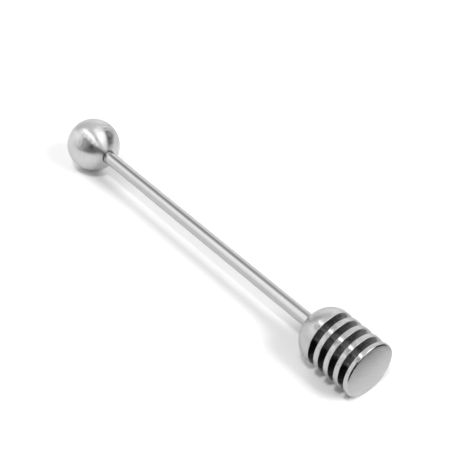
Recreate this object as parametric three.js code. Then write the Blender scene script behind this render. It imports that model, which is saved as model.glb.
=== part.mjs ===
// Honey spoon: a satin ball knob, a slim round rod and a head of thin discs whose grooves hold the honey.
// The spoon lies along Y with its head toward -Y and rests on the plane z = 0. Millimetres, +Z up.

import * as THREE from 'three';

// Driving dimensions
const BALL_DIAMETER = 20;
const BALL_BORE_DEPTH = 10; // from the ball's pole to the flat bottom of its blind bore
const ROD_DIAMETER = 4.8;
const ROD_EXPOSED_LENGTH = 112; // from the ball's pole to the top of the dome
const ROD_SHOULDER_WIDTH = 0.75; // step down from the rod to the thin tail that carries the head
const ROD_END_CHAMFER = 0.4;
const HEAD_DIAMETER = 20;
const DOME_CROWN_RISE = 8.5;
const DOME_LAND_LENGTH = 1.5; // the straight rim in front of the rounded crown
const DOME_SEAT_DEPTH = 4; // from the top of the dome to the seat of the rod's shoulder
const RING_COUNT = 3;
const RING_THICKNESS = 2;
const GROOVE_WIDTH = 2.5;
const SPACER_WALL = 2.2;
const END_DISC_THICKNESS = 2;
const END_DISC_WEB = 0.8; // left in front of the blind bore, so that the end face stays whole
const END_DISC_FILLET = 0.5;
const RIM_CHAMFER = 0.2;

// Clearances
const FIT_CLEARANCE = 0.1; // on the radius, between a shaft and its bore
const TAIL_END_CLEARANCE = 0.2; // between the tail and the bottom of its blind bore

// Facets: an even count, turned by half a facet, so that the spoon lies on a flat
const SEGMENTS = 40;
const BALL_ARC_STEPS = 10;
const CROWN_ARC_STEPS = 5;
const FILLET_ARC_STEPS = 2;

// Worked-out sizes
const ballRadius = BALL_DIAMETER / 2;
const headRadius = HEAD_DIAMETER / 2;
const rodRadius = ROD_DIAMETER / 2;
const rodBoreRadius = rodRadius + FIT_CLEARANCE;
const tailRadius = rodRadius - ROD_SHOULDER_WIDTH;
const tailBoreRadius = tailRadius + FIT_CLEARANCE;
const coreRadius = tailBoreRadius + SPACER_WALL;
const domeLength = DOME_LAND_LENGTH + DOME_CROWN_RISE;
const stackLength = RING_COUNT * (RING_THICKNESS + GROOVE_WIDTH) + GROOVE_WIDTH;
const totalLength = END_DISC_THICKNESS + stackLength + domeLength + ROD_EXPOSED_LENGTH + BALL_DIAMETER;
const axisHeight = Math.max(ballRadius, headRadius);

// Stations along Y
const endFaceY = -totalLength / 2;
const stackY = endFaceY + END_DISC_THICKNESS;
const domeY = stackY + stackLength;
const ballCentreY = totalLength / 2 - ballRadius;
const tailEndY = endFaceY + END_DISC_WEB + TAIL_END_CLEARANCE;
const seatY = domeY + domeLength - DOME_SEAT_DEPTH;
const rodEndY = ballCentreY - ballRadius + BALL_BORE_DEPTH;

// Finishes
const SATIN = { color: 0xcfcfcf, roughness: 0.34, metalness: 1 };
const POLISHED = { color: 0xd6d6d6, roughness: 0.14, metalness: 1 };
const TURNED = { color: 0xc8c8c8, roughness: 0.28, metalness: 1 };
const SHADED_CORE = { color: 0x6c6c6c, roughness: 0.45, metalness: 1 };

/** Turns an outline of radius and Y about the Y axis. Its facets stand on the true circle from outside. */
function turned(outline, arcSteps = 1) {
  const acrossCorners = 1 / Math.cos(Math.PI / SEGMENTS);
  const points = outline.getPoints(arcSteps);
  for (const point of points) {
    point.x *= acrossCorners;
  }
  return new THREE.LatheGeometry(points, SEGMENTS, Math.PI / SEGMENTS);
}

/** A flat ring from y = 0 up, with a small chamfer on both edges of its rim. */
function ringOutline(boreRadius, rimRadius, thickness, chamfer) {
  return new THREE.Path()
    .moveTo(boreRadius, 0)
    .lineTo(rimRadius - chamfer, 0)
    .lineTo(rimRadius, chamfer)
    .lineTo(rimRadius, thickness - chamfer)
    .lineTo(rimRadius - chamfer, thickness)
    .lineTo(boreRadius, thickness)
    .lineTo(boreRadius, 0);
}

/** A solid ball about y = 0 with a blind bore that opens toward -Y. */
function ballKnob() {
  const boreBottomY = BALL_BORE_DEPTH - ballRadius;
  const mouthAngle = -Math.acos(rodBoreRadius / ballRadius);
  const outline = new THREE.Path()
    .moveTo(0, boreBottomY)
    .lineTo(rodBoreRadius, boreBottomY)
    .lineTo(rodBoreRadius, ballRadius * Math.sin(mouthAngle))
    .absarc(0, 0, ballRadius, mouthAngle, Math.PI / 2, false);
  return turned(outline, BALL_ARC_STEPS);
}

/** The rod from its tail end at y = 0: a thin tail, a flat shoulder and the full rod up to the ball's bore. */
function handleRod() {
  const shoulderY = seatY - tailEndY;
  const length = rodEndY - tailEndY;
  const outline = new THREE.Path()
    .moveTo(0, 0)
    .lineTo(tailRadius - ROD_END_CHAMFER, 0)
    .lineTo(tailRadius, ROD_END_CHAMFER)
    .lineTo(tailRadius, shoulderY)
    .lineTo(rodRadius, shoulderY)
    .lineTo(rodRadius, length - ROD_END_CHAMFER)
    .lineTo(rodRadius - ROD_END_CHAMFER, length)
    .lineTo(0, length);
  return turned(outline);
}

/** The cap behind the grooves: a straight land, an elliptical crown, and a stepped bore that seats the rod. */
function domeCap() {
  const localSeatY = domeLength - DOME_SEAT_DEPTH;
  const mouthAngle = Math.acos(rodBoreRadius / headRadius);
  const outline = new THREE.Path()
    .moveTo(tailBoreRadius, 0)
    .lineTo(headRadius - RIM_CHAMFER, 0)
    .lineTo(headRadius, RIM_CHAMFER)
    .lineTo(headRadius, DOME_LAND_LENGTH)
    .absellipse(0, DOME_LAND_LENGTH, headRadius, DOME_CROWN_RISE, 0, mouthAngle, false)
    .lineTo(rodBoreRadius, localSeatY)
    .lineTo(tailBoreRadius, localSeatY)
    .lineTo(tailBoreRadius, 0);
  return turned(outline, CROWN_ARC_STEPS);
}

/** The front disc: a plain end face with a filleted edge, and a blind bore from behind for the rod's tail. */
function endDisc() {
  const fillet = Math.min(END_DISC_FILLET, END_DISC_THICKNESS / 2);
  const outline = new THREE.Path()
    .moveTo(0, 0)
    .lineTo(headRadius - fillet, 0)
    .absarc(headRadius - fillet, fillet, fillet, -Math.PI / 2, 0, false)
    .lineTo(headRadius, END_DISC_THICKNESS - RIM_CHAMFER)
    .lineTo(headRadius - RIM_CHAMFER, END_DISC_THICKNESS)
    .lineTo(tailBoreRadius, END_DISC_THICKNESS)
    .lineTo(tailBoreRadius, END_DISC_WEB)
    .lineTo(0, END_DISC_WEB);
  return turned(outline, FILLET_ARC_STEPS);
}

/** One of the thin discs between the grooves. */
function ringDisc() {
  return turned(ringOutline(tailBoreRadius, headRadius, RING_THICKNESS, RIM_CHAMFER));
}

/** The sleeve at the bottom of a groove that holds two discs apart. */
function grooveSpacer() {
  return turned(ringOutline(tailBoreRadius, coreRadius, GROOVE_WIDTH, RIM_CHAMFER));
}

const spoon = new THREE.Group();
spoon.position.z = axisHeight;

function addPiece(name, geometry, finish, y) {
  const mesh = new THREE.Mesh(geometry, new THREE.MeshStandardMaterial(finish));
  mesh.name = name;
  mesh.position.y = y;
  spoon.add(mesh);
}

addPiece('ball_knob', ballKnob(), SATIN, ballCentreY);
addPiece('handle_rod', handleRod(), POLISHED, tailEndY);
addPiece('dome_cap', domeCap(), SATIN, domeY);

// Grooves and discs are counted from the dome toward the end face
for (let groove = 1; groove <= RING_COUNT + 1; groove++) {
  const grooveY = domeY - groove * GROOVE_WIDTH - (groove - 1) * RING_THICKNESS;
  addPiece(`groove_spacer_${groove}`, grooveSpacer(), SHADED_CORE, grooveY);
  if (groove <= RING_COUNT) {
    addPiece(`ring_disc_${groove}`, ringDisc(), TURNED, grooveY - RING_THICKNESS);
  }
}

addPiece('end_disc', endDisc(), TURNED, endFaceY);

export default spoon;
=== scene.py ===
"""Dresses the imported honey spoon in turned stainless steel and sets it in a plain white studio.

Every piece is a surface of revolution about the spoon's own axis, which lies along Y.
Lengths are in metres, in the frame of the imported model.
"""

import math

import bpy
import numpy as np
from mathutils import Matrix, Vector


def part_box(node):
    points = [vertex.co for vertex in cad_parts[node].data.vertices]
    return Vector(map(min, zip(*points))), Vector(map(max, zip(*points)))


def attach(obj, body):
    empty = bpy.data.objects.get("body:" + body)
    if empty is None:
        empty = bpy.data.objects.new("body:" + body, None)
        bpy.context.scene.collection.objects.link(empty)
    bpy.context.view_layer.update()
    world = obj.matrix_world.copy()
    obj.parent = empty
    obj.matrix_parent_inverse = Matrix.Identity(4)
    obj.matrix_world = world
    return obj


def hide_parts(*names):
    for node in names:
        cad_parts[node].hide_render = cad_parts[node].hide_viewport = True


bl_info = {
    "name": "Honey Spoon",
    "version": (1, 0, 0),
    "blender": (4, 5, 0),
    "location": "View3D > Sidebar > Honey Spoon",
    "description": "Turns a stainless honey spoon on its packed model and lays it in a white studio",
    "category": "Add Mesh",
}

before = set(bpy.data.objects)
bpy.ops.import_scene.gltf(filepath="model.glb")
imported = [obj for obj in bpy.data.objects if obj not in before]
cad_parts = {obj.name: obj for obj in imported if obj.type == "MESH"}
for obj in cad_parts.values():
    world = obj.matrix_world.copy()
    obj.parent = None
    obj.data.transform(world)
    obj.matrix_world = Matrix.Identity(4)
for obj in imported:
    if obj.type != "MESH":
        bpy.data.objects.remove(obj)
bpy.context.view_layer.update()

BODY = "root"
RING_COUNT = 3
GROOVE_COUNT = RING_COUNT + 1
MILLIMETRE = 0.001


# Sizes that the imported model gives

BALL_LOW, BALL_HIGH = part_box("ball_knob")
ROD_LOW, ROD_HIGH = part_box("handle_rod")
DOME_LOW, DOME_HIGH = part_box("dome_cap")
SPACER_LOW, SPACER_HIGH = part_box("groove_spacer_1")

BALL_RADIUS = (BALL_HIGH.x - BALL_LOW.x) / 2
ROD_RADIUS = (ROD_HIGH.x - ROD_LOW.x) / 2
HEAD_RADIUS = (DOME_HIGH.x - DOME_LOW.x) / 2
CORE_RADIUS = (SPACER_HIGH.x - SPACER_LOW.x) / 2
BALL_CENTRE_Y = BALL_HIGH.y - BALL_RADIUS
AXIS_HEIGHT = (BALL_LOW.z + BALL_HIGH.z) / 2


class SpoonSizes(bpy.types.PropertyGroup):
    """Sizes of the turned pieces."""

    ball_radius: bpy.props.FloatProperty(
        name="Ball radius", description="Radius of the ball knob",
        default=BALL_RADIUS, min=0.004, unit="LENGTH", subtype="DISTANCE")
    rod_radius: bpy.props.FloatProperty(
        name="Rod radius", description="Radius of the handle rod",
        default=ROD_RADIUS, min=0.001, unit="LENGTH", subtype="DISTANCE")
    tail_radius: bpy.props.FloatProperty(
        name="Tail radius", description="Radius of the rod's thin tail inside the head",
        default=1.65 * MILLIMETRE, min=0.0005, unit="LENGTH", subtype="DISTANCE")
    head_radius: bpy.props.FloatProperty(
        name="Head radius", description="Radius of the dome and of the discs",
        default=HEAD_RADIUS, min=0.004, unit="LENGTH", subtype="DISTANCE")
    core_radius: bpy.props.FloatProperty(
        name="Core radius", description="Radius at the bottom of the grooves",
        default=CORE_RADIUS, min=0.001, unit="LENGTH", subtype="DISTANCE")
    land_length: bpy.props.FloatProperty(
        name="Land length", description="Straight rim in front of the dome's rounded crown",
        default=1.5 * MILLIMETRE, min=0.0, unit="LENGTH", subtype="DISTANCE")
    seat_depth: bpy.props.FloatProperty(
        name="Seat depth", description="From the dome's top to the seat of the rod's shoulder",
        default=4.0 * MILLIMETRE, min=0.001, unit="LENGTH", subtype="DISTANCE")
    clearance: bpy.props.FloatProperty(
        name="Clearance", description="Radial clearance of every bore",
        default=0.1 * MILLIMETRE, min=0.0, unit="LENGTH", subtype="DISTANCE")
    mouth_break: bpy.props.FloatProperty(
        name="Mouth break", description="Length of the broken edge at the bores' mouths",
        default=0.1 * MILLIMETRE, min=0.0, unit="LENGTH", subtype="DISTANCE")
    mouth_gap: bpy.props.FloatProperty(
        name="Mouth gap", description="Width of the open ring round the rod where it enters the ball",
        default=0.22 * MILLIMETRE, min=0.0, unit="LENGTH", subtype="DISTANCE")
    mouth_depth: bpy.props.FloatProperty(
        name="Mouth depth", description="Depth of the open ring round the rod where it enters the ball",
        default=0.5 * MILLIMETRE, min=0.0, unit="LENGTH", subtype="DISTANCE")
    rim_break: bpy.props.FloatProperty(
        name="Rim break", description="Length of the broken edges of the discs' rims",
        default=0.2 * MILLIMETRE, min=0.0, unit="LENGTH", subtype="DISTANCE")
    face_round: bpy.props.FloatProperty(
        name="Face rounding", description="Length of the rounded edge of the end face",
        default=0.55 * MILLIMETRE, min=0.0, unit="LENGTH", subtype="DISTANCE")
    face_crown: bpy.props.FloatProperty(
        name="Face crown", description="How far the middle of the end face stands in front of its edge",
        default=0.20 * MILLIMETRE, min=0.0, unit="LENGTH", subtype="DISTANCE")
    face_web: bpy.props.FloatProperty(
        name="Face web", description="Metal between the end face and the blind bore behind it",
        default=0.8 * MILLIMETRE, min=0.0001, unit="LENGTH", subtype="DISTANCE")


class SpoonFinish(bpy.types.PropertyGroup):
    """Colours of the steel."""

    satin_colour: bpy.props.FloatVectorProperty(
        name="Satin steel", description="Colour of the ball knob",
        default=(0.66, 0.66, 0.66), min=0.0, max=1.0, subtype="COLOR")
    polished_colour: bpy.props.FloatVectorProperty(
        name="Polished steel", description="Colour of the handle rod",
        default=(0.52, 0.52, 0.52), min=0.0, max=1.0, subtype="COLOR")
    turned_colour: bpy.props.FloatVectorProperty(
        name="Turned steel", description="Colour of the dome, the discs and the sleeves between them",
        default=(0.59, 0.59, 0.59), min=0.0, max=1.0, subtype="COLOR")
    face_colour: bpy.props.FloatVectorProperty(
        name="Face steel", description="Colour of the end face",
        default=(0.72, 0.72, 0.72), min=0.0, max=1.0, subtype="COLOR")
    # Painted shade: a darker steel colour for the groove walls, standing in for the shade deep in the
    # grooves
    groove_shade_colour: bpy.props.FloatVectorProperty(
        name="Groove steel", description="Colour of the walls of the grooves",
        default=(0.36, 0.36, 0.36), min=0.0, max=1.0, subtype="COLOR")


class StudioSettings(bpy.types.PropertyGroup):
    """The white studio round the spoon."""

    floor_colour: bpy.props.FloatVectorProperty(
        name="Floor", description="Colour of the floor",
        default=(0.86, 0.86, 0.86), min=0.0, max=1.0, subtype="COLOR")
    mirrored_colour: bpy.props.FloatVectorProperty(
        name="Mirrored floor", description="Colour of the floor as the steel shows it",
        default=(0.69, 0.69, 0.69), min=0.0, max=1.0, subtype="COLOR")
    lamp_level: bpy.props.FloatProperty(
        name="Lamp level", description="Factor on the brightness of the soft lamps",
        default=1.0, min=0.0)
    ambient: bpy.props.FloatProperty(
        name="Ambient", description="Brightness of the even light that the room sheds on the floor",
        default=0.37, min=0.0)


# Outlines in the half plane of radius and Y. They run with the metal on their left.

BLEND_POINTS = 7
ARC_POINTS = 97
FACE_POINTS = 33
FINE_STEP = 0.4 * MILLIMETRE
ROD_STEP = 1.5 * MILLIMETRE
ROD_END_CHAMFER = 0.4 * MILLIMETRE
CROWN_POWER = 3
STATION_DECIMALS = 8


def blended(corners, lengths):
    """Rounds each corner of a polygon with a parabola.

    It starts and ends the given length away from the corner on its two sides, with the corner as its
    control point: (1 - s)^2 start + 2 s (1 - s) corner + s^2 end.
    """
    corners = np.asarray(corners, float)
    lengths = np.asarray(lengths, float)[:, None]
    before = np.roll(corners, 1, axis=0) - corners
    after = np.roll(corners, -1, axis=0) - corners
    start = corners + lengths * before / np.linalg.norm(before, axis=1, keepdims=True)
    end = corners + lengths * after / np.linalg.norm(after, axis=1, keepdims=True)
    s = np.linspace(0, 1, BLEND_POINTS)[None, :, None]
    curves = (1 - s) ** 2 * start[:, None] + 2 * s * (1 - s) * corners[:, None] + s ** 2 * end[:, None]
    return curves.reshape(-1, 2)


def divided(outline, step):
    """Adds points along an outline so that no side is longer than step.

    The outline's own points stay, and those that coincide become one.
    """
    sides = np.linalg.norm(np.diff(outline, axis=0), axis=1)
    along = np.concatenate([[0.0], np.cumsum(sides)])
    stations = np.concatenate([along, np.arange(0, along[-1], step)])
    stations = np.unique(np.round(stations, STATION_DECIMALS))
    return np.column_stack([np.interp(stations, along, outline[:, axis]) for axis in (0, 1)])


def closed_outline(points):
    """Divides an outline that joins its own start, without repeating the start."""
    return divided(np.concatenate([points, points[:1]]), FINE_STEP)[:-1]


def ball_outline(sizes):
    """A blind bore with an open ring at its mouth, and a circular arc from there to the far pole."""
    bore = sizes.rod_radius + sizes.clearance
    bottom = ROD_HIGH.y
    open_bore = sizes.rod_radius + sizes.mouth_gap
    mouth_angle = math.asin(open_bore / sizes.ball_radius)
    mouth = BALL_CENTRE_Y - sizes.ball_radius * math.cos(mouth_angle)
    step = mouth + sizes.mouth_depth
    polar = np.linspace(mouth_angle + sizes.mouth_break / sizes.ball_radius, np.pi, ARC_POINTS)
    arc = np.column_stack([sizes.ball_radius * np.sin(polar),
                           BALL_CENTRE_Y - sizes.ball_radius * np.cos(polar)])
    arc[-1, 0] = 0.0
    corners = [
        [0.0, bottom],
        [bore, bottom],
        [bore, step],
        [open_bore, step],
        [open_bore, mouth],
        arc[0],
    ]
    edge = blended(corners, [0.0, 0.0, 0.0, 0.0, sizes.mouth_break, 0.0])
    return divided(np.concatenate([edge, arc]), FINE_STEP)


def rod_outline(sizes):
    """A straight rod with a thin tail behind a flat shoulder, and a chamfer at both ends."""
    shoulder = DOME_HIGH.y - sizes.seat_depth
    corners = np.array([
        [0.0, ROD_LOW.y],
        [sizes.tail_radius - ROD_END_CHAMFER, ROD_LOW.y],
        [sizes.tail_radius, ROD_LOW.y + ROD_END_CHAMFER],
        [sizes.tail_radius, shoulder],
        [sizes.rod_radius, shoulder],
        [sizes.rod_radius, ROD_HIGH.y - ROD_END_CHAMFER],
        [sizes.rod_radius - ROD_END_CHAMFER, ROD_HIGH.y],
        [0.0, ROD_HIGH.y],
    ])
    return divided(corners, ROD_STEP)


def dome_outline(sizes):
    """A flat front, a straight land, a quarter of an ellipse as the crown, and a stepped bore."""
    tail_bore = sizes.tail_radius + sizes.clearance
    rod_bore = sizes.rod_radius + sizes.clearance
    crown_foot = DOME_LOW.y + sizes.land_length
    rise = DOME_HIGH.y - crown_foot
    seat = DOME_HIGH.y - sizes.seat_depth
    mouth_angle = math.acos(rod_bore / sizes.head_radius)
    turn = np.linspace(0, mouth_angle - sizes.mouth_break / sizes.head_radius, ARC_POINTS)
    crown = np.column_stack([sizes.head_radius * np.cos(turn), crown_foot + rise * np.sin(turn)])
    front = blended([[tail_bore, DOME_LOW.y], [sizes.head_radius, DOME_LOW.y], crown[0]],
                    [0.0, sizes.rim_break, 0.0])
    mouth = [rod_bore, crown_foot + rise * math.sin(mouth_angle)]
    bore = blended([crown[-1], mouth, [rod_bore, seat], [tail_bore, seat]],
                   [0.0, sizes.mouth_break, 0.0, 0.0])
    return closed_outline(np.concatenate([front, crown, bore]))


def ring_outline(inner, outer, low, high, lengths):
    """A flat ring whose four corners are rounded by the given lengths."""
    corners = [[inner, low], [outer, low], [outer, high], [inner, high]]
    return closed_outline(blended(corners, lengths))


def end_disc_outline(sizes, low, high):
    """A faintly crowned face with a rounded edge in front and a blind bore behind.

    The face falls back from its middle by crown (r / edge)^power, where edge is the radius at which
    the rounding starts. The rounding goes on from the slope that the face has there.
    """
    tail_bore = sizes.tail_radius + sizes.clearance
    web = low + sizes.face_web
    edge = sizes.head_radius - sizes.face_round
    radius = np.linspace(0, edge, FACE_POINTS)
    face = np.column_stack([radius, low + sizes.face_crown * (radius / edge) ** CROWN_POWER])
    slope = CROWN_POWER * sizes.face_crown / edge
    corner = [sizes.head_radius, face[-1, 1] + slope * sizes.face_round]
    rest = [
        face[-1],
        corner,
        [sizes.head_radius, high],
        [tail_bore, high],
        [tail_bore, web],
        [0.0, web],
    ]
    lengths = [0.0, sizes.face_round, sizes.rim_break, 0.0, 0.0, 0.0]
    return divided(np.concatenate([face, blended(rest, lengths)]), FINE_STEP)


# Surfaces of revolution

SHARP_ANGLE = math.radians(40)
HEAD_COLUMNS = 256
ROD_COLUMNS = 128


def turned_piece(name, outline, columns, closed, material):
    """Carries an outline round the spoon's axis and makes it a mesh object.

    A point of radius r at angle a is (r sin a, y, axis height + r cos a). A closed outline joins its
    own start, and an open one starts and ends on the axis, where a fan of triangles closes each pole.
    """
    rows = outline if closed else outline[1:-1]
    angle = np.arange(columns) * (2 * np.pi / columns)
    x = rows[:, :1] * np.sin(angle)
    y = np.repeat(rows[:, 1:], columns, axis=1)
    z = AXIS_HEIGHT + rows[:, :1] * np.cos(angle)
    points = np.stack([x, y, z], axis=-1).reshape(-1, 3)
    grid = np.arange(rows.shape[0] * columns).reshape(-1, columns)
    here = grid if closed else grid[:-1]
    there = np.roll(grid, -1, axis=0) if closed else grid[1:]
    sides = [here, np.roll(here, -1, axis=1), np.roll(there, -1, axis=1), there]
    faces = np.stack(sides, axis=-1).reshape(-1, 4).tolist()
    if not closed:
        poles = np.array([[0.0, outline[0, 1], AXIS_HEIGHT], [0.0, outline[-1, 1], AXIS_HEIGHT]])
        first = np.full(columns, len(points))
        points = np.concatenate([points, poles])
        faces += np.stack([first, np.roll(grid[0], -1), grid[0]], axis=-1).tolist()
        faces += np.stack([grid[-1], np.roll(grid[-1], -1), first + 1], axis=-1).tolist()
    mesh = bpy.data.meshes.new(name)
    mesh.from_pydata(points.tolist(), [], faces)
    mesh.shade_smooth()
    mesh.set_sharp_from_angle(angle=SHARP_ANGLE)
    mesh.materials.append(material)
    piece = bpy.data.objects.new(name, mesh)
    bpy.context.scene.collection.objects.link(piece)
    return piece


# Node building

# Sockets of a Mix node for colours: its factor, its two colours and its result
MIX_FACTOR = 0
MIX_FIRST = 6
MIX_SECOND = 7
MIX_RESULT = 2


class Wire:
    """An output socket. Arithmetic on it adds Math nodes to its tree."""

    def __init__(self, bench, socket):
        self.bench = bench
        self.socket = socket

    def __add__(self, other):
        return self.bench.math("ADD", self, other)

    def __radd__(self, other):
        return self.bench.math("ADD", other, self)

    def __sub__(self, other):
        return self.bench.math("SUBTRACT", self, other)

    def __rsub__(self, other):
        return self.bench.math("SUBTRACT", other, self)

    def __mul__(self, other):
        return self.bench.math("MULTIPLY", self, other)

    def __rmul__(self, other):
        return self.bench.math("MULTIPLY", other, self)

    def __truediv__(self, other):
        return self.bench.math("DIVIDE", self, other)

    def __rtruediv__(self, other):
        return self.bench.math("DIVIDE", other, self)

    def __pow__(self, other):
        return self.bench.math("POWER", self, other)

    def __rpow__(self, other):
        return self.bench.math("POWER", other, self)

    def __abs__(self):
        return self.bench.math("ABSOLUTE", self)

    def output(self, name):
        """Another output of the same node."""
        return Wire(self.bench, self.socket.node.outputs[name])


class Bench:
    """A node tree, and the one way in which nodes are added to it."""

    def __init__(self, tree):
        tree.nodes.clear()
        self.tree = tree

    def node(self, kind, settings=None, sockets=None, output=0):
        """Adds a node: its settings first, then the values or links of its sockets."""
        made = self.tree.nodes.new(kind)
        for name, value in (settings or {}).items():
            setattr(made, name, value)
        for key, value in (sockets or {}).items():
            if isinstance(value, Wire):
                self.tree.links.new(value.socket, made.inputs[key])
            else:
                made.inputs[key].default_value = value
        return Wire(self, made.outputs[output]) if len(made.outputs) else None

    def math(self, operation, *values):
        return self.node("ShaderNodeMath", {"operation": operation}, dict(enumerate(values)))

    def vector_math(self, operation, sockets):
        return self.node("ShaderNodeVectorMath", {"operation": operation}, sockets)

    def step(self, value, low, high):
        """0 below low, 1 above high and a smooth rise between them."""
        settings = {"interpolation_type": "SMOOTHSTEP"}
        sockets = {"Value": value, "From Min": low, "From Max": high}
        return self.node("ShaderNodeMapRange", settings, sockets)

    def mix(self, factor, first, second):
        """A colour between two others."""
        settings = {"data_type": "RGBA"}
        sockets = {MIX_FACTOR: factor, MIX_FIRST: first, MIX_SECOND: second}
        return self.node("ShaderNodeMix", settings, sockets, output=MIX_RESULT)


def bell(value, width, power):
    """1 where value is 0, and e to the minus (|value| / width) to a power elsewhere."""
    return math.e ** (0.0 - abs(value / width) ** power)


# Steel

# Lines and bands along the meridian, with their breaks round the axis, and clouds over the whole piece
LINES_PER_METRE = 40000.0
LINE_BREAKS = 6.0
LINE_DETAIL = 1.0
LINE_DETAIL_SHARE = 0.6
BANDS_PER_METRE = 2200.0
BAND_BREAKS = 1.0
BAND_SHARE = 0.10
CLOUDS_PER_METRE = 160.0
CLOUD_DETAIL = 2.0
NOISE_MIDDLE = 0.5
LEAST_RADIUS = 1e-7

# Worn patches: the share of the bands, the noise from dark to pale, and the change of roughness
WORN_BAND_SHARE = 0.5
WORN_RANGE = (0.35, 0.65)
WORN_ROUGHNESS = 0.08

# Which flat sides are groove walls: none, the one toward -Y, the one toward +Y or both
NO_WALL = 0
FRONT_WALL = -1
BACK_WALL = 1
BOTH_WALLS = 2

# Broken edges, groove walls and the end face: each sets in where the normal's part along Y rises between
# the two values of its lean, and a wall also needs some depth below the rim
EDGE_LEAN = (0.05, 0.30)
EDGE_SPREAD = 0.5
EDGE_ROUGHNESS = 0.14
WALL_LEAN = (0.80, 0.97)
# Between these depths below the rim a wall takes its own finish and the darker colour that paints shade
# into the groove
WALL_DEPTH = (0.15 * MILLIMETRE, 0.7 * MILLIMETRE)
WALL_SPREAD = 0.8
WALL_ROUGHNESS = 0.12
FACE_LEAN = (0.93, 0.995)
FACE_SPREAD = 0.3
FACE_ROUGHNESS = 0.45

# Straight strokes across the end face
STROKE_TURN = math.radians(-30)
STROKES_PER_METRE = 2200.0
STROKE_BREAKS_PER_METRE = 150.0
STROKE_DETAIL = 2.0
STROKE_RANGE = (0.2, 0.8)


def turned_steel(name, colour, spread, roughness, mottle,
                 wall=NO_WALL, wall_shade_colour=None, face_colour=None):
    """Steel with fine lines round the spoon's axis.

    The normal leans along the meridian by a noise of radius and Y, times spread. The noise changes only
    slowly round the axis, so light spreads across the lines and not along them. mottle is how much
    darker the worn patches are. A groove wall below the rim has its own darker colour, which is painted
    shade in the grooves, and the walls and the edges beside them have their own finish. face_colour is
    for a plain face toward -Y with straight strokes on it.
    """
    material = bpy.data.materials.new(name)
    material.use_nodes = True
    bench = Bench(material.node_tree)
    place = bench.node("ShaderNodeTexCoord", output="Object")
    x = bench.node("ShaderNodeSeparateXYZ", sockets={0: place})
    y = x.output("Y")
    rise = x.output("Z") - AXIS_HEIGHT
    radius = (x * x + rise * rise + LEAST_RADIUS ** 2) ** 0.5
    across = x / radius
    up = rise / radius
    normal = bench.node("ShaderNodeNewGeometry", output="Normal")
    normal_y = bench.node("ShaderNodeSeparateXYZ", sockets={0: normal}, output="Y")

    def lines(per_metre, breaks):
        """Noise of radius and Y with slow changes round the axis."""
        spot = {0: radius * per_metre, 1: y * per_metre, 2: across * breaks}
        settings = {"noise_dimensions": "4D"}
        sockets = {
            "Vector": bench.node("ShaderNodeCombineXYZ", sockets=spot),
            "W": up * breaks,
            "Scale": 1.0,
            "Detail": LINE_DETAIL,
            "Roughness": LINE_DETAIL_SHARE,
        }
        return bench.node("ShaderNodeTexNoise", settings, sockets)

    fine = lines(LINES_PER_METRE, LINE_BREAKS)
    bands = lines(BANDS_PER_METRE, BAND_BREAKS)
    cloud_sockets = {"Vector": place, "Scale": CLOUDS_PER_METRE, "Detail": CLOUD_DETAIL}
    clouds = bench.node("ShaderNodeTexNoise", sockets=cloud_sockets)
    worn = WORN_BAND_SHARE * bands + (1 - WORN_BAND_SHARE) * clouds
    patches = bench.step(worn, *WORN_RANGE)

    def mottled(pale, share=patches):
        """A colour that is darker where share is low."""
        grey = [(1 - mottle) * channel for channel in pale]
        return bench.mix(share, [*grey, 1.0], [*pale, 1.0])

    def refinished(share, new_spread, new_roughness):
        """The spread and roughness so far, changed to new ones where share is 1."""
        changed_spread = spread + (new_spread - spread) * share
        changed_roughness = roughness + (new_roughness - roughness) * share
        return changed_spread, changed_roughness

    base = mottled(colour)
    if wall != NO_WALL:
        facing = abs(normal_y) if wall == BOTH_WALLS else normal_y * float(wall)
        depth = bench.step(HEAD_RADIUS - radius, *WALL_DEPTH)
        flat = bench.step(facing, *WALL_LEAN) * depth
        # Painted shade: below the rim the groove walls take the darker colour
        base = bench.mix(flat, base, mottled(wall_shade_colour))
        spread, roughness = refinished(bench.step(facing, *EDGE_LEAN), EDGE_SPREAD, EDGE_ROUGHNESS)
        spread, roughness = refinished(flat, WALL_SPREAD, WALL_ROUGHNESS)

    if face_colour is not None:
        facing = 0.0 - normal_y
        face = bench.step(facing, *FACE_LEAN)
        along = x * math.cos(STROKE_TURN) + rise * math.sin(STROKE_TURN)
        beside = rise * math.cos(STROKE_TURN) - x * math.sin(STROKE_TURN)
        spot = {0: along * STROKE_BREAKS_PER_METRE, 1: beside * STROKES_PER_METRE, 2: 0.0}
        stroke_sockets = {
            "Vector": bench.node("ShaderNodeCombineXYZ", sockets=spot),
            "Scale": 1.0,
            "Detail": STROKE_DETAIL,
        }
        strokes = bench.node("ShaderNodeTexNoise", sockets=stroke_sockets)
        base = bench.mix(face, base, mottled(face_colour, bench.step(strokes, *STROKE_RANGE)))
        spread, roughness = refinished(bench.step(facing, *EDGE_LEAN), EDGE_SPREAD, EDGE_ROUGHNESS)
        spread, roughness = refinished(face, FACE_SPREAD, FACE_ROUGHNESS)

    around = bench.node("ShaderNodeCombineXYZ", sockets={0: up, 1: 0.0, 2: 0.0 - across})
    meridian = bench.vector_math("CROSS_PRODUCT", {0: normal, 1: around})
    lean = ((fine - NOISE_MIDDLE) + BAND_SHARE * (bands - NOISE_MIDDLE)) * spread
    leaned = bench.vector_math("SCALE", {0: meridian, "Scale": lean})
    brushed = bench.vector_math("NORMALIZE", {0: bench.vector_math("ADD", {0: normal, 1: leaned})})

    shader = bench.node("ShaderNodeBsdfPrincipled", sockets={
        "Base Color": base,
        "Metallic": 1.0,
        "Roughness": roughness + WORN_ROUGHNESS * (worn - NOISE_MIDDLE),
        "Normal": brushed,
    })
    bench.node("ShaderNodeOutputMaterial", sockets={"Surface": shader})
    return material


# Operators for the pieces

def place_piece(piece, node):
    """Lets a finished piece stand for its CAD node."""
    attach(piece, BODY)
    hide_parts(node)


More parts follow.
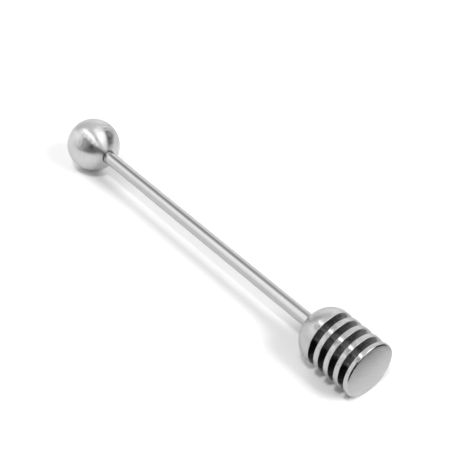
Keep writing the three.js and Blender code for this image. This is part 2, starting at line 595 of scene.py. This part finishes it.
def turned_rings(kind, count, radius, columns, sizes, steel):
    """Turns a row of flat rings on the rod's tail, one for each CAD node of a kind."""
    inner = sizes.tail_radius + sizes.clearance
    lengths = [0.0, sizes.rim_break, sizes.rim_break, 0.0]
    for number in range(1, count + 1):
        node = f"{kind}_{number}"
        low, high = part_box(node)
        outline = ring_outline(inner, radius, low.y, high.y, lengths)
        piece = turned_piece(f"turned_{node}", outline, columns, True, steel)
        place_piece(piece, node)


class SPOON_OT_ball_knob(bpy.types.Operator):
    """Turn the satin ball knob with its blind bore"""

    bl_idname = "honey_spoon.ball_knob"
    bl_label = "Ball knob"

    def execute(self, context):
        sizes = context.scene.spoon_sizes
        finish = context.scene.spoon_finish
        steel = turned_steel("satin_ball_steel", finish.satin_colour,
                             spread=2.3, roughness=0.20, mottle=0.10)
        piece = turned_piece("satin_ball_knob", ball_outline(sizes), HEAD_COLUMNS, False, steel)
        place_piece(piece, "ball_knob")
        return {"FINISHED"}


class SPOON_OT_handle_rod(bpy.types.Operator):
    """Turn the polished rod with its thin tail"""

    bl_idname = "honey_spoon.handle_rod"
    bl_label = "Handle rod"

    def execute(self, context):
        sizes = context.scene.spoon_sizes
        finish = context.scene.spoon_finish
        steel = turned_steel("polished_rod_steel", finish.polished_colour,
                             spread=0.2, roughness=0.11, mottle=0.04)
        piece = turned_piece("polished_handle_rod", rod_outline(sizes), ROD_COLUMNS, False, steel)
        place_piece(piece, "handle_rod")
        return {"FINISHED"}


class SPOON_OT_dome_cap(bpy.types.Operator):
    """Turn the satin dome behind the grooves"""

    bl_idname = "honey_spoon.dome_cap"
    bl_label = "Dome cap"

    def execute(self, context):
        sizes = context.scene.spoon_sizes
        finish = context.scene.spoon_finish
        steel = turned_steel("satin_dome_steel", finish.turned_colour,
                             spread=1.3, roughness=0.24, mottle=0.12,
                             wall=FRONT_WALL, wall_shade_colour=finish.groove_shade_colour)
        piece = turned_piece("satin_dome_cap", dome_outline(sizes), HEAD_COLUMNS, True, steel)
        place_piece(piece, "dome_cap")
        return {"FINISHED"}


class SPOON_OT_ring_discs(bpy.types.Operator):
    """Turn the thin discs between the grooves"""

    bl_idname = "honey_spoon.ring_discs"
    bl_label = "Ring discs"

    def execute(self, context):
        sizes = context.scene.spoon_sizes
        finish = context.scene.spoon_finish
        steel = turned_steel("turned_disc_steel", finish.turned_colour,
                             spread=2.1, roughness=0.18, mottle=0.12,
                             wall=BOTH_WALLS, wall_shade_colour=finish.groove_shade_colour)
        turned_rings("ring_disc", RING_COUNT, sizes.head_radius, HEAD_COLUMNS,
                     sizes, steel)
        return {"FINISHED"}


class SPOON_OT_end_disc(bpy.types.Operator):
    """Turn the end disc with its plain face"""

    bl_idname = "honey_spoon.end_disc"
    bl_label = "End disc"

    def execute(self, context):
        sizes = context.scene.spoon_sizes
        finish = context.scene.spoon_finish
        steel = turned_steel("turned_face_steel", finish.turned_colour,
                             spread=2.1, roughness=0.20, mottle=0.12,
                             wall=BACK_WALL, wall_shade_colour=finish.groove_shade_colour,
                             face_colour=finish.face_colour)
        low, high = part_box("end_disc")
        outline = end_disc_outline(sizes, low.y, high.y)
        piece = turned_piece("turned_end_disc", outline, HEAD_COLUMNS, False, steel)
        place_piece(piece, "end_disc")
        return {"FINISHED"}


class SPOON_OT_groove_spacers(bpy.types.Operator):
    """Turn the sleeves at the bottom of the grooves"""

    bl_idname = "honey_spoon.groove_spacers"
    bl_label = "Groove spacers"

    def execute(self, context):
        sizes = context.scene.spoon_sizes
        finish = context.scene.spoon_finish
        steel = turned_steel("turned_core_steel", finish.turned_colour,
                             spread=0.3, roughness=0.10, mottle=0.10)
        turned_rings("groove_spacer", GROOVE_COUNT, sizes.core_radius, ROD_COLUMNS,
                     sizes, steel)
        return {"FINISHED"}


# Studio

CAMERA_PLACE = Vector((-0.18838, -0.23896, 0.28611))
CAMERA_AIM = Vector((0.00851, -0.00315, 0.01000))
CAMERA_LENS = 90.77
CAMERA_CLIP_START = 0.01
SENSOR_WIDTH = 36.0
WHITE = (1.0, 1.0, 1.0, 1.0)
CARD_BLACK = (0.01, 0.01, 0.01, 1.0)

# The floor: half its side, its cells along a side, its own faint glow, and the distances from the origin
# between which it fades to white. For the steel its colour falls to a share between two places along X:
# painted shade on the floor's +X side, which darkens what the steel mirrors on its right.
FLOOR_HALF = 3.0
FLOOR_CELLS = 24
FLOOR_GLOW = 0.02
WHITE_FROM = (0.16, 0.40)
PAINTED_SHADE_SHARE = 0.85
PAINTED_SHADE_FROM = (0.016, 0.034)

# Each soft lamp: name, centre, width, length, its turn about the vertical in degrees, its brightness, and
# whether it is for gloss. Such a lamp lights the steel alone. The others light the floor alone and make
# its shadows.
LAMPS = (
    ("left_softbox", (-0.412, -0.273, 0.91), 0.423, 1.354, -7.1, 3.3, True),
    ("right_softbox", (0.380, -1.360, 0.91), 0.900, 2.500, -12.9, 2.5, True),
    ("left_key", (-0.864, -0.570, 3.00), 0.350, 0.350, 0.0, 94.0, False),
    ("right_key", (0.346, -1.090, 0.91), 0.500, 0.910, 0.0, 17.0, False),
    ("back_key", (0.080, 0.450, 0.45), 0.700, 0.300, 0.0, 3.7, False),
)

# Each dark card that gloss sees: name, centre and two half sides
CARDS = (
    ("overhead_card", (-0.259, 0.000, 0.420), (0.1265, 0.0, 0.0), (0.0, 0.1850, 0.0)),
    ("front_card", (0.0, -0.094, 0.010), (0.25, 0.0, 0.0), (0.0, 0.0, 0.010)),
)

# The world that gloss sees, by a direction's turn about Y from the vertical and by its height along Y: a
# white backdrop that glows in its middle, a dark gap in it, and the open dark side of the studio
BACKDROP_WHITE = 0.50
GLOW_WHITE = 1.30
GLOW_TURN = 0.04
GLOW_TURN_WIDTH = 1.70
GLOW_HEIGHT = 0.53
GLOW_HEIGHT_WIDTH = 0.51
GLOW_POWER = 2
GAP_DARK = 0.73
GAP_TURN = 0.18
GAP_SLOPE = -1.30
GAP_WIDTH = 0.56
GAP_HEIGHT = 0.72
GAP_LENGTH = 0.42
GAP_POWER = 4
OPEN_SIDE_WHITE = 0.06
OPEN_SIDE_EDGE = (-0.15, 0.11)


def make_floor(studio):
    """A flat square grid with a pale, dull finish.

    The camera sees it in its own colour, which fades to white away from the spoon. The steel sees it
    greyer, and darker still toward +X, where the darker colour is painted shade.
    """
    side = np.linspace(-FLOOR_HALF, FLOOR_HALF, FLOOR_CELLS + 1)
    x, y = np.meshgrid(side, side)
    points = np.stack([x, y, np.zeros_like(x)], axis=-1).reshape(-1, 3)
    grid = np.arange(points.shape[0]).reshape(x.shape)
    corners = [grid[:-1, :-1], grid[:-1, 1:], grid[1:, 1:], grid[1:, :-1]]
    mesh = bpy.data.meshes.new("studio_floor")
    mesh.from_pydata(points.tolist(), [], np.stack(corners, axis=-1).reshape(-1, 4).tolist())
    material = bpy.data.materials.new("white_floor")
    material.use_nodes = True
    bench = Bench(material.node_tree)
    camera = bench.node("ShaderNodeLightPath", output="Is Camera Ray")
    place = bench.node("ShaderNodeTexCoord", output="Object")
    across = bench.node("ShaderNodeSeparateXYZ", sockets={0: place})
    # Painted shade: the floor as the steel sees it turns darker toward +X
    shaded = [PAINTED_SHADE_SHARE * channel for channel in studio.mirrored_colour]
    painted_shade_toward_x = bench.step(across, *PAINTED_SHADE_FROM)
    mirrored = bench.mix(painted_shade_toward_x, [*studio.mirrored_colour, 1.0], [*shaded, 1.0])
    colour = bench.mix(camera, mirrored, [*studio.floor_colour, 1.0])
    shader = bench.node("ShaderNodeBsdfPrincipled", sockets={
        "Base Color": colour,
        "Roughness": 1.0,
        "Specular IOR Level": 0.0,
        "Emission Color": WHITE,
        "Emission Strength": FLOOR_GLOW,
    })
    away = bench.node("ShaderNodeVectorMath", {"operation": "LENGTH"}, {0: place}, output="Value")
    white = bench.node("ShaderNodeEmission", sockets={"Color": WHITE, "Strength": 1.0})
    fade = camera * bench.step(away, *WHITE_FROM)
    surface = bench.node("ShaderNodeMixShader", sockets={0: fade, 1: shader, 2: white})
    bench.node("ShaderNodeOutputMaterial", sockets={"Surface": surface})
    mesh.materials.append(material)
    floor = bpy.data.objects.new("studio_floor", mesh)
    bpy.context.scene.collection.objects.link(floor)


def make_world(studio):
    """White for the camera, even light for the floor, and the sides of the studio for gloss."""
    world = bpy.data.worlds.new("white_studio")
    world.use_nodes = True
    bench = Bench(world.node_tree)
    heading = bench.node("ShaderNodeTexCoord", output="Generated")
    x = bench.node("ShaderNodeSeparateXYZ", sockets={0: heading})
    height = x.output("Y")
    turn = bench.math("ARCTAN2", x, x.output("Z"))
    glow_across = bell(turn - GLOW_TURN, GLOW_TURN_WIDTH, GLOW_POWER)
    glow = glow_across * bell(height - GLOW_HEIGHT, GLOW_HEIGHT_WIDTH, GLOW_POWER)
    off_gap = turn - (GAP_TURN + GAP_SLOPE * (height - GAP_HEIGHT))
    gap_across = bell(off_gap, GAP_WIDTH, GAP_POWER)
    gap = gap_across * bell(height - GAP_HEIGHT, GAP_LENGTH, GAP_POWER)
    backdrop = (BACKDROP_WHITE + GLOW_WHITE * glow) * (1.0 - GAP_DARK * gap)
    room = OPEN_SIDE_WHITE + bench.step(height, *OPEN_SIDE_EDGE) * (backdrop - OPEN_SIDE_WHITE)
    camera = bench.node("ShaderNodeLightPath", output="Is Camera Ray")
    gloss = bench.math("MAXIMUM", camera.output("Is Glossy Ray"), camera.output("Is Transmission Ray"))
    strength = studio.ambient + gloss * (room - studio.ambient)
    strength = strength + camera * (1.0 - strength)
    background = bench.node("ShaderNodeBackground", sockets={"Color": WHITE, "Strength": strength})
    bench.node("ShaderNodeOutputWorld", sockets={"Surface": background})
    bpy.context.scene.world = world


def make_lamps(studio):
    """Hangs the soft lamps level, face down. A lamp's energy is pi times its brightness and its area."""
    for name, place, width, length, turn, brightness, in_gloss in LAMPS:
        lamp = bpy.data.lights.new(name, "AREA")
        lamp.shape = "RECTANGLE"
        lamp.size = width
        lamp.size_y = length
        lamp.energy = studio.lamp_level * brightness * math.pi * width * length
        holder = bpy.data.objects.new(name, lamp)
        holder.location = place
        holder.rotation_euler.z = math.radians(turn)
        holder.visible_glossy = in_gloss
        holder.visible_diffuse = not in_gloss
        bpy.context.scene.collection.objects.link(holder)


def make_cards():
    """Sets up the flat dark cards that give the steel its dark edges. Only gloss sees them."""
    material = bpy.data.materials.new("dark_card")
    material.use_nodes = True
    bench = Bench(material.node_tree)
    shader = bench.node("ShaderNodeBsdfDiffuse", sockets={"Color": CARD_BLACK})
    bench.node("ShaderNodeOutputMaterial", sockets={"Surface": shader})
    ways = np.array([[-1, -1], [1, -1], [1, 1], [-1, 1]])
    for name, centre, *sides in CARDS:
        corners = np.array(centre) + ways @ np.array(sides)
        mesh = bpy.data.meshes.new(name)
        mesh.from_pydata(corners.tolist(), [], [[0, 1, 2, 3]])
        mesh.materials.append(material)
        card = bpy.data.objects.new(name, mesh)
        card.visible_camera = False
        card.visible_diffuse = False
        card.visible_shadow = False
        bpy.context.scene.collection.objects.link(card)


def make_camera():
    """Stands the camera where the picture was taken from."""
    lens = bpy.data.cameras.new("camera")
    lens.lens = CAMERA_LENS
    lens.sensor_width = SENSOR_WIDTH
    lens.clip_start = CAMERA_CLIP_START
    camera = bpy.data.objects.new("camera", lens)
    camera.location = CAMERA_PLACE
    camera.rotation_mode = "QUATERNION"
    camera.rotation_quaternion = (CAMERA_AIM - CAMERA_PLACE).to_track_quat("-Z", "Y")
    bpy.context.scene.collection.objects.link(camera)
    bpy.context.scene.camera = camera


class SPOON_OT_stage(bpy.types.Operator):
    """Set up the floor, the light, the dark cards and the camera"""

    bl_idname = "honey_spoon.stage"
    bl_label = "White studio"

    def execute(self, context):
        studio = context.scene.spoon_studio
        make_floor(studio)
        make_world(studio)
        make_lamps(studio)
        make_cards()
        make_camera()
        context.scene.view_settings.view_transform = "Standard"
        return {"FINISHED"}


OPERATORS = (
    SPOON_OT_ball_knob,
    SPOON_OT_handle_rod,
    SPOON_OT_dome_cap,
    SPOON_OT_ring_discs,
    SPOON_OT_end_disc,
    SPOON_OT_groove_spacers,
    SPOON_OT_stage,
)


class VIEW3D_PT_honey_spoon(bpy.types.Panel):
    """Lists the sizes, the colours, the studio and the operators"""

    bl_label = "Honey Spoon"
    bl_space_type = "VIEW_3D"
    bl_region_type = "UI"
    bl_category = "Honey Spoon"

    def draw(self, context):
        scene = context.scene
        for settings in (scene.spoon_sizes, scene.spoon_finish, scene.spoon_studio):
            box = self.layout.box()
            for name in settings.__annotations__:
                box.prop(settings, name)
        for operator in OPERATORS:
            self.layout.operator(operator.bl_idname)


CLASSES = (SpoonSizes, SpoonFinish, StudioSettings, *OPERATORS, VIEW3D_PT_honey_spoon)


def register():
    for item in CLASSES:
        bpy.utils.register_class(item)
    bpy.types.Scene.spoon_sizes = bpy.props.PointerProperty(type=SpoonSizes)
    bpy.types.Scene.spoon_finish = bpy.props.PointerProperty(type=SpoonFinish)
    bpy.types.Scene.spoon_studio = bpy.props.PointerProperty(type=StudioSettings)


def unregister():
    del bpy.types.Scene.spoon_studio
    del bpy.types.Scene.spoon_finish
    del bpy.types.Scene.spoon_sizes
    for item in reversed(CLASSES):
        bpy.utils.unregister_class(item)


def main():
    """Builds every piece and the studio."""
    register()
    bpy.ops.honey_spoon.ball_knob()
    bpy.ops.honey_spoon.handle_rod()
    bpy.ops.honey_spoon.dome_cap()
    bpy.ops.honey_spoon.ring_discs()
    bpy.ops.honey_spoon.end_disc()
    bpy.ops.honey_spoon.groove_spacers()
    bpy.ops.honey_spoon.stage()


if __name__ == "__main__":
    main()
